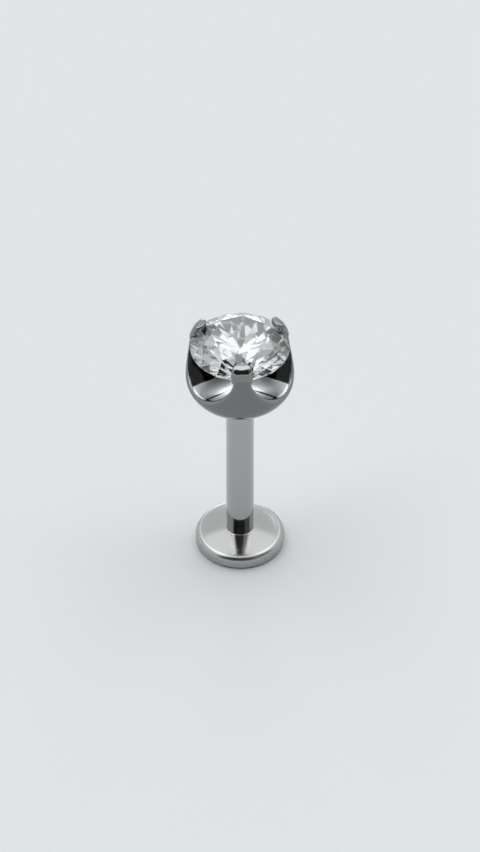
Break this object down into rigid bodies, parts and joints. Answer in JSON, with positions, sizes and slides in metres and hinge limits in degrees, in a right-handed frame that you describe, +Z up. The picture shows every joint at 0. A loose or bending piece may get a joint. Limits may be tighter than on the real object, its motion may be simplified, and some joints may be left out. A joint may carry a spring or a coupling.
{
  "type": "labret stud",
  "caption": "Flat-back labret stud: a round base disc on a hollow post, and a pull-off head with a round brilliant in a prong cup.",
  "frame": {"origin": "middle of the base disc's flat underside", "axes": "+Z up the post towards the stone, -Y to the front, where one of the three prongs is"},
  "size_m": [0.0046, 0.0046, 0.0119],
  "materials": {
    "polished_post": "polished titanium",
    "polished_setting": "polished titanium",
    "clear_stone": "faceted and polished"
  },
  "bodies": {
    "post": {"flatback_post": "polished_post"},
    "head": {"prong_setting": "polished_setting", "stone": "clear_stone"}
  },
  "joints": [
    {"name": "head_pull", "type": "slide", "parent": "post", "child": "head", "axis": [0, 0, 1], "range_m": [0, 0.005]}
  ]
}
